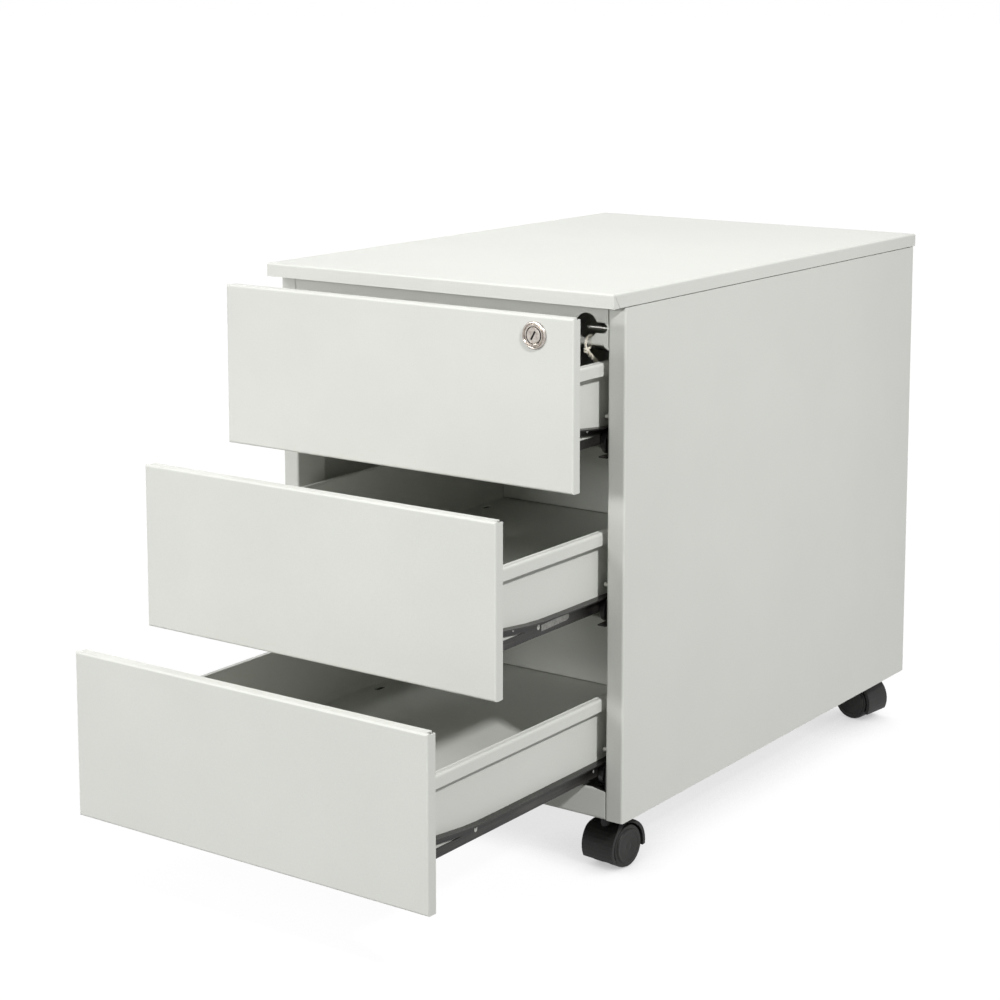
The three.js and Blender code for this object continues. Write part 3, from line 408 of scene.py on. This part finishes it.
def spline(points, per_span):
    """Points along a Catmull-Rom curve through the given ones."""
    pts = [Vector(p) for p in points]
    pts = [2 * pts[0] - pts[1]] + pts + [2 * pts[-1] - pts[-2]]
    out = []
    for a, b, c, d in zip(pts, pts[1:], pts[2:], pts[3:]):
        for i in range(per_span):
            t = i / per_span
            out.append(
                0.5 * ((2 * b) + (c - a) * t + (2 * a - 5 * b + 4 * c - d) * t ** 2
                       + (3 * b - a - 3 * c + d) * t ** 3)
            )
    out.append(pts[-2])
    return out


def frames(points):
    """A tangent and a sideways direction at each point, without sudden turns."""
    side = None
    out = []
    for i, p in enumerate(points):
        along = (points[min(i + 1, len(points) - 1)] - points[max(i - 1, 0)]).normalized()
        if side is None:
            side = along.orthogonal().normalized()
        side = (side - along * side.dot(along)).normalized()
        out.append((p, along, side))
    return out


def sweep(points, radius, sides, lobes, twist, lobe_depth):
    """A closed tube along points in metres, with lobes that wind round it as in a rope."""
    verts, faces = [], []
    gone = 0.0
    last = points[0]
    ends = []
    for p, along, side in frames(points):
        gone += (p - last).length
        last = p
        across = along.cross(side)
        ring = []
        for k in range(sides):
            a = 2 * math.pi * k / sides
            r = radius * (1 + lobe_depth * math.cos(lobes * a))
            b = a + twist * gone
            ring.append(len(verts))
            verts.append(p + r * (math.cos(b) * side + math.sin(b) * across))
        ends.append(ring)
    for a, b in zip(ends, ends[1:]):
        for k in range(sides):
            j = (k + 1) % sides
            faces.append([a[k], a[j], b[j], b[k]])
    faces.append(list(reversed(ends[0])))
    faces.append(list(ends[-1]))
    return verts, faces


def wound(points, offset, turns, phase, ease_in):
    """A strand's line that winds round a centre line and leaves it over the first few points."""
    out = []
    rings = frames(points)
    for i, (p, along, side) in enumerate(rings):
        a = phase + 2 * math.pi * turns * i / (len(rings) - 1)
        grow = offset * min(1.0, (i + 1) / ease_in)
        out.append(p + grow * (math.cos(a) * side + math.sin(a) * along.cross(side)))
    return out


def key_string(material):
    """A loop, two strands twisted round each other below it, and a knot between them."""
    route = [Vector(p) * MM for p in CORD_ROUTE]
    radius = CORD_DIAMETER / 2 * MM
    loop = spline(route[: KNOT_POINT + 1], SPLINE_STEPS)
    legs = spline(route[KNOT_POINT:], SPLINE_STEPS)
    parts = [sweep(loop, radius * LOOP_RADIUS, **ROPE)]
    for phase in (STRANDS["phase"], STRANDS["phase"] + math.pi):
        offset = radius * STRANDS["offset"]
        strand = wound(legs, offset, STRANDS["turns"], phase, STRANDS["ease_in"])
        parts.append(sweep(strand, radius * STRANDS["radius"], **ROPE))
    knot = []
    for i in range(KNOT["steps"] + 1):
        done = i / KNOT["steps"]
        a = 2 * math.pi * KNOT["turns"] * done
        out = radius * (KNOT["out"] + KNOT["swell"] * math.cos(a * KNOT["swells_per_turn"]))
        knot.append(route[KNOT_POINT] + Vector((
            out * math.cos(a), KNOT["flat"] * out * math.sin(a),
            radius * KNOT["half_height"] * (1 - 2 * done),
        )))
    parts.append(sweep(knot, radius * KNOT["radius"], **ROPE))
    made = piece("key_string", *merged(*parts), material, "carcass", "twine", smooth=70)
    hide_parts("key_cord")


key_string(TWINE)

# ---------------------------------------------------------------- small parts
# Places in millimetres in the row frame; a drawer's are given from its face and its lower edge.
DRAWERS = {
    "bottom": {"face": -426.0, "low": 64.5},
    "middle": {"face": -335.0, "low": 215.5},
    "top": {"face": -223.5, "low": 366.5},
}
SIDES = {"right": 1, "left": -1}


# Rivets on the webs of the drawers' runners: behind the face, height, radius.
WEB_OUTSIDE = 164.5
RIVETS = [(65.7, 40.6, 1.1), (103.0, 34.0, 1.7), (281.3, 32.4, 1.3), (470.0, 32.4, 1.7)]


def rivet(y, z, radius):
    profile = [
        (-0.4, 0), (-0.4, radius + 0.5), (0.12, radius + 0.5), (0.2, radius + 0.2),
        (0.2, radius), (0.55, radius * 0.86), (0.75, radius * 0.5), (0.8, 0),
    ]
    return lathe(profile, 20, "x", (WEB_OUTSIDE, y, z))


def runner_rivets():
    for drawer, at in DRAWERS.items():
        solids = [rivet(at["face"] + y, at["low"] + z, r) for y, z, r in RIVETS]
        for side, sign in SIDES.items():
            piece(
                f"runner_rivets_{drawer}_{side}", *metres(merged(*solids), sign), ZINC,
                f"drawer_{drawer}", "zinc_steel", smooth=40,
            )


# A lighter steel patch on the middle drawer's webs: a painted reflection.
PATCH = [  # behind the face, and height above the drawer's lower edge
    (107, 29.6), (146, 30.6), (148.6, 31.8), (149.6, 33.6), (148.6, 35.4), (146, 36.2),
    (107, 35.2),
]
PATCH_RAISE = (-0.2, 0.3)  # from inside the web to outside it


def painted_reflection_patches():
    at = DRAWERS["middle"]
    solid = prism(*(
        [(WEB_OUTSIDE + x, at["face"] + y, at["low"] + z) for y, z in PATCH]
        for x in PATCH_RAISE
    ))
    for side, sign in SIDES.items():
        piece(
            f"runner_reflection_patch_{side}", *metres(solid, sign), WEB_REFLECTION_STEEL,
            "drawer_middle", "black_steel", smooth=30,
        )


# The hem along the top of each drawer's side wall stands off the wall.
HEM = [  # x, and height above the drawer's lower edge
    (162.9, 87.2), (164.4, 87.2), (164.85, 87.45), (165.0, 88.0), (165.0, 97.8), (164.8, 98.4),
    (164.3, 98.8), (162.9, 98.95),
]
HEM_FROM_FACE = (17.5, 519.6)


def hems():
    for drawer, at in DRAWERS.items():
        solid = prism(*(
            [(x, at["face"] + y, at["low"] + z) for x, z in HEM] for y in HEM_FROM_FACE
        ))
        for side, sign in SIDES.items():
            piece(
                f"drawer_hem_{drawer}_{side}", *metres(solid, sign), PAINT,
                f"drawer_{drawer}", "light_grey_paint", smooth=40,
            )


# Raised rims of the slots in the tray floors.
SLOT_X = 150
SLOT_FROM_FACE = (372, 464)
SLOT_HALF = (3.4, 4.0)  # radius of the ends, and half the straight length
FLOOR_HEIGHT = 28.5
RIM_RADIUS = 0.45
RIM_RISE = 0.15
RIM_STEPS = (16, 8)  # along each round end, and round the section


def slot_rim(x, y, z):
    """A closed ring of round section that follows the slot's outline."""
    radius, straight = SLOT_HALF
    arc, sides = RIM_STEPS
    verts, faces = [], []
    for end in (1, -1):
        for i in range(arc + 1):
            a = math.pi * i / arc + (0 if end == 1 else math.pi)
            out_x, out_y = math.cos(a), math.sin(a)
            for k in range(sides):
                b = 2 * math.pi * k / sides
                r = radius + RIM_RADIUS * math.cos(b)
                verts.append((
                    x + r * out_x, y + end * straight + r * out_y, z + RIM_RADIUS * math.sin(b),
                ))
    rings = 2 * (arc + 1)
    for i in range(rings):
        for k in range(sides):
            here, on = i * sides, (i + 1) % rings * sides
            faces.append([here + k, on + k, on + (k + 1) % sides, here + (k + 1) % sides])
    return verts, faces


def slot_rims():
    for drawer, at in DRAWERS.items():
        z = at["low"] + FLOOR_HEIGHT + RIM_RISE - RIM_RADIUS
        solids = [
            slot_rim(sign * SLOT_X, at["face"] + y, z)
            for sign in SIDES.values() for y in SLOT_FROM_FACE
        ]
        piece(
            f"slot_rims_{drawer}", *metres(merged(*solids)), PAINT,
            f"drawer_{drawer}", "light_grey_paint", smooth=60,
        )


# Screws that hold the back panel.
BACK_FACE = 422.7
BACK_SCREWS_X = 172
BACK_SCREWS_Z = (92, 216, 352, 492)
SCREW_HEAD = [  # outwards from the panel, radius
    (-0.6, 0), (-0.6, 3.6), (0.5, 3.6), (1.1, 3.3), (1.7, 2.4), (1.9, 1.7), (1.2, 1.5), (1.0, 0),
]


def back_screws():
    solids = [
        lathe(SCREW_HEAD, 24, "y", (sign * BACK_SCREWS_X, BACK_FACE, z))
        for sign in SIDES.values() for z in BACK_SCREWS_Z
    ]
    piece("back_screws", *metres(merged(*solids)), ZINC, "carcass", "zinc_steel", smooth=35)


# The lock: a turned rosette in place of the plain ring, and the wafers down in the keyway, near
# black as painted shade.
LOCK = (154.0, 498.8)
ROSETTE = [  # outwards from the face, radius
    (-10.3, 7.3), (-10.3, 9.0), (0.3, 9.0), (0.3, 11.6), (0.5, 12.0), (0.9, 12.0),
    (1.4, 11.8), (1.8, 11.35), (1.9, 10.9), (1.75, 10.5), (1.1, 10.1), (0.7, 9.7),
    (0.7, 9.4), (1.1, 9.1), (1.7, 8.9), (1.9, 8.6), (1.9, 8.1), (1.7, 7.8), (0.3, 7.7),
    (-0.6, 7.6), (-0.6, 7.3), (-10.3, 7.3),
]
KEYWAY = {"width": 1.6, "height": 8.2, "floor": 0.9, "tilt": 0.5}
WAFERS = {"count": 7, "thickness": 1.6, "gap": 0.06, "step": 0.25, "inset": 0.12}
PLUG_FACE = 2.4  # in front of the drawer's face
BOX_FACES = (
    (0, 1, 2, 3), (7, 6, 5, 4), (0, 4, 5, 1), (1, 5, 6, 2), (2, 6, 7, 3), (3, 7, 4, 0),
)


def rosette():
    face = DRAWERS["top"]["face"]
    profile = [(face - out, radius) for out, radius in ROSETTE]
    solid = lathe(profile, 72, "y", (LOCK[0], 0, LOCK[1]))
    made = piece("lock_rosette", *metres(solid), NICKEL, "drawer_top", "nickel", smooth=28)
    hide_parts("lock_housing")


def key_wafers():
    """A stack of thin plates that fills the keyway to below the plug's face."""
    keyway_floor = DRAWERS["top"]["face"] - PLUG_FACE + KEYWAY["floor"]
    half = KEYWAY["width"] / 2
    tall = KEYWAY["height"] / WAFERS["count"]
    c, t = math.cos(KEYWAY["tilt"]), math.sin(KEYWAY["tilt"])
    verts, faces = [], []
    for i in range(WAFERS["count"]):
        front = keyway_floor + WAFERS["step"] * (i % 2)
        wide = half - WAFERS["inset"] * (i % 3)
        low = -KEYWAY["height"] / 2 + i * tall + WAFERS["gap"]
        high = low + tall - 2 * WAFERS["gap"]
        base = len(verts)
        for y in (front, front + WAFERS["thickness"]):
            for x, z in ((-wide, low), (wide, low), (wide, high), (-wide, high)):
                verts.append((LOCK[0] + c * x + t * z, y, LOCK[1] - t * x + c * z))
        faces += [[base + k for k in f] for f in BOX_FACES]
    piece("key_wafers", *metres((verts, faces)), RECESS, "lock_plug", "nickel", smooth=20)


# The casters: a capped disc with a raised ring on the outside of each wheel.
CASTERS = {  # side, swivel's y, turn
    "front_right": (1, -118.5, -0.1),
    "front_left": (-1, -118.5, -0.35),
    "rear_right": (1, 404.0, 1.46),
    "rear_left": (-1, 404.0, -1.5),
}
SWIVEL_X = 162
TRAIL = 10  # of the axle behind the swivel
WHEEL_RADIUS = 20
WHEEL_CAP = [  # outwards from the middle of the caster, radius
    (16.2, 0), (17.6, 0), (17.58, 3.4), (17.5, 3.8), (17.58, 4.2), (17.5, 12.4),
    (17.55, 13.2), (17.85, 13.9), (17.85, 15.2), (17.5, 15.8), (16.9, 16.2), (16.2, 16.2),
    (16.2, 0),
]


def wheel_caps():
    for name, (side, y, turn) in CASTERS.items():
        cap = lathe(WHEEL_CAP, 64, "x", (0, TRAIL, WHEEL_RADIUS))
        other = ([(-v[0], v[1], v[2]) for v in cap[0]], cap[1])
        verts, faces = merged(cap, other)
        spin = Matrix.Translation((side * SWIVEL_X, y, 0)) @ Matrix.Rotation(turn, 4, "Z")
        verts = [spin @ Vector(v) for v in verts]
        piece(
            f"wheel_caps_{name}", *metres((verts, faces)), PLASTIC,
            f"caster_{name}_wheels", "black_plastic", smooth=30,
        )


runner_rivets()
painted_reflection_patches()
hems()
slot_rims()
back_screws()
rosette()
key_wafers()
wheel_caps()

# ---------------------------------------------------------------- stage and light
# The floor is white to the camera and in reflections, and the object's shadow shows on it, partly
# as painted contact shadow.
# It lights the object like a mid-grey floor, and further out it is the backdrop's plain white.
FLOOR_HALF = 40
FLOOR_NEAR = 0.75  # from here to FLOOR_FAR the floor turns into the plain backdrop
FLOOR_FAR = 1.6
FLOOR_GLOW = 0.93  # share of the floor's own white near the object
FLOOR_LIFT = 1.03  # the white's strength in the open
FLOOR_WHITE = (0.95, 0.96)  # darkest and lightest grain, as seen
FLOOR_BOUNCE = (0.20, 0.24)  # the same, as it lights the object
# Painted contact shadow: near the object, ambient occlusion dims the floor's white glow.
CONTACT_REACH = 0.08
CONTACT_LEVEL = 0.42  # the white's strength right at a contact: the darkest painted contact shadow
CONTACT_OPEN = 0.7  # share of open sky at which the floor is plain again
WORLD_STRENGTH = 0.35
LAMPS = [  # name, place, target, width, height, power, spread in degrees, seen in reflections
    ("front_light", (-1.5, -3.3, 2.35), (0.0, -0.2, 0.4), 0.9, 0.7, 3.6, 60, True),
    ("low_light", (-1.2, -3.0, 1.03), (0, 0, 0.42), 1.6, 0.36, 16.2, 120, True),
    ("key_light", (3.5, -1.6, 3.3), (0.2, 0.1, 0.4), 0.32, 0.32, 12.6, 50, True),
    ("top_light", (-0.3, -0.2, 2.6), (0, 0, 0.4), 1.6, 1.6, 3.1, 100, True),
    ("back_light", (-2.9, 2.9, 1.3), (0, 0.1, 0.35), 1.6, 1.0, 11.0, 80, False),
]


def grey(level):
    return (level, level, level, 1)


def stage_floor():
    n = Nodes(bpy.data.materials.new("floor"))
    seen = n.seen()
    grain = n.ramp(n.noise(40, 2), *NOISE_SPAN)
    bounce = n.mix(grain, *map(grey, FLOOR_BOUNCE))
    white = n.mix(grain, *map(grey, FLOOR_WHITE))
    diffuse = n.add("BsdfDiffuse", {"Color": n.mix(seen, bounce, white)})
    # Painted contact shadow: the glow dims where the object occludes the floor.
    under = n.add("AmbientOcclusion", {"Distance": CONTACT_REACH}, samples=8).outputs["AO"]
    level = n.ramp(under, 0.0, CONTACT_OPEN, CONTACT_LEVEL, FLOOR_LIFT)
    glow = n.add("Emission", {"Color": grey(1), "Strength": level})
    away = n.add("VectorMath", {0: n.place()}, operation="LENGTH").outputs["Value"]
    plain = n.add(
        "MapRange",
        {"Value": away, "From Min": FLOOR_NEAR, "From Max": FLOOR_FAR, "To Min": FLOOR_GLOW,
         "To Max": 1.0},
        interpolation_type="SMOOTHSTEP",
    ).outputs["Result"]
    share = n.add("Math", {0: seen, 1: plain}, operation="MULTIPLY").outputs[0]
    shader = n.add("MixShader", {0: share, 1: diffuse.outputs[0], 2: glow.outputs[0]})
    mesh = bpy.data.meshes.new("floor")
    h = FLOOR_HALF
    mesh.from_pydata([(-h, -h, 0), (h, -h, 0), (h, h, 0), (-h, h, 0)], [], [(0, 1, 2, 3)])
    mesh.materials.append(n.finish(shader))
    floor = bpy.data.objects.new("floor", mesh)
    bpy.context.scene.collection.objects.link(floor)


def studio_world():
    """An even white surround: plain light on the object, and white where it is seen."""
    world = bpy.data.worlds.new("studio")
    bpy.context.scene.world = world
    n = Nodes(world, "OutputWorld")
    lit = n.add("Background", {"Color": grey(1), "Strength": WORLD_STRENGTH})
    shown = n.add("Background", {"Color": grey(1), "Strength": 1.0})
    n.finish(n.add("MixShader", {0: n.seen(), 1: lit.outputs[0], 2: shown.outputs[0]}))


def softbox(name, place, target, width, height, power, spread, sheen):
    lamp = bpy.data.lights.new(name, "AREA")
    lamp.shape = "RECTANGLE"
    lamp.size, lamp.size_y = width, height
    lamp.energy = power
    lamp.spread = math.radians(spread)
    made = bpy.data.objects.new(name, lamp)
    bpy.context.scene.collection.objects.link(made)
    made.location = place
    made.rotation_mode = "QUATERNION"
    made.rotation_quaternion = (Vector(target) - Vector(place)).to_track_quat("-Z", "Y")
    made.visible_glossy = sheen


stage_floor()
studio_world()
for lamp_facts in LAMPS:
    softbox(*lamp_facts)
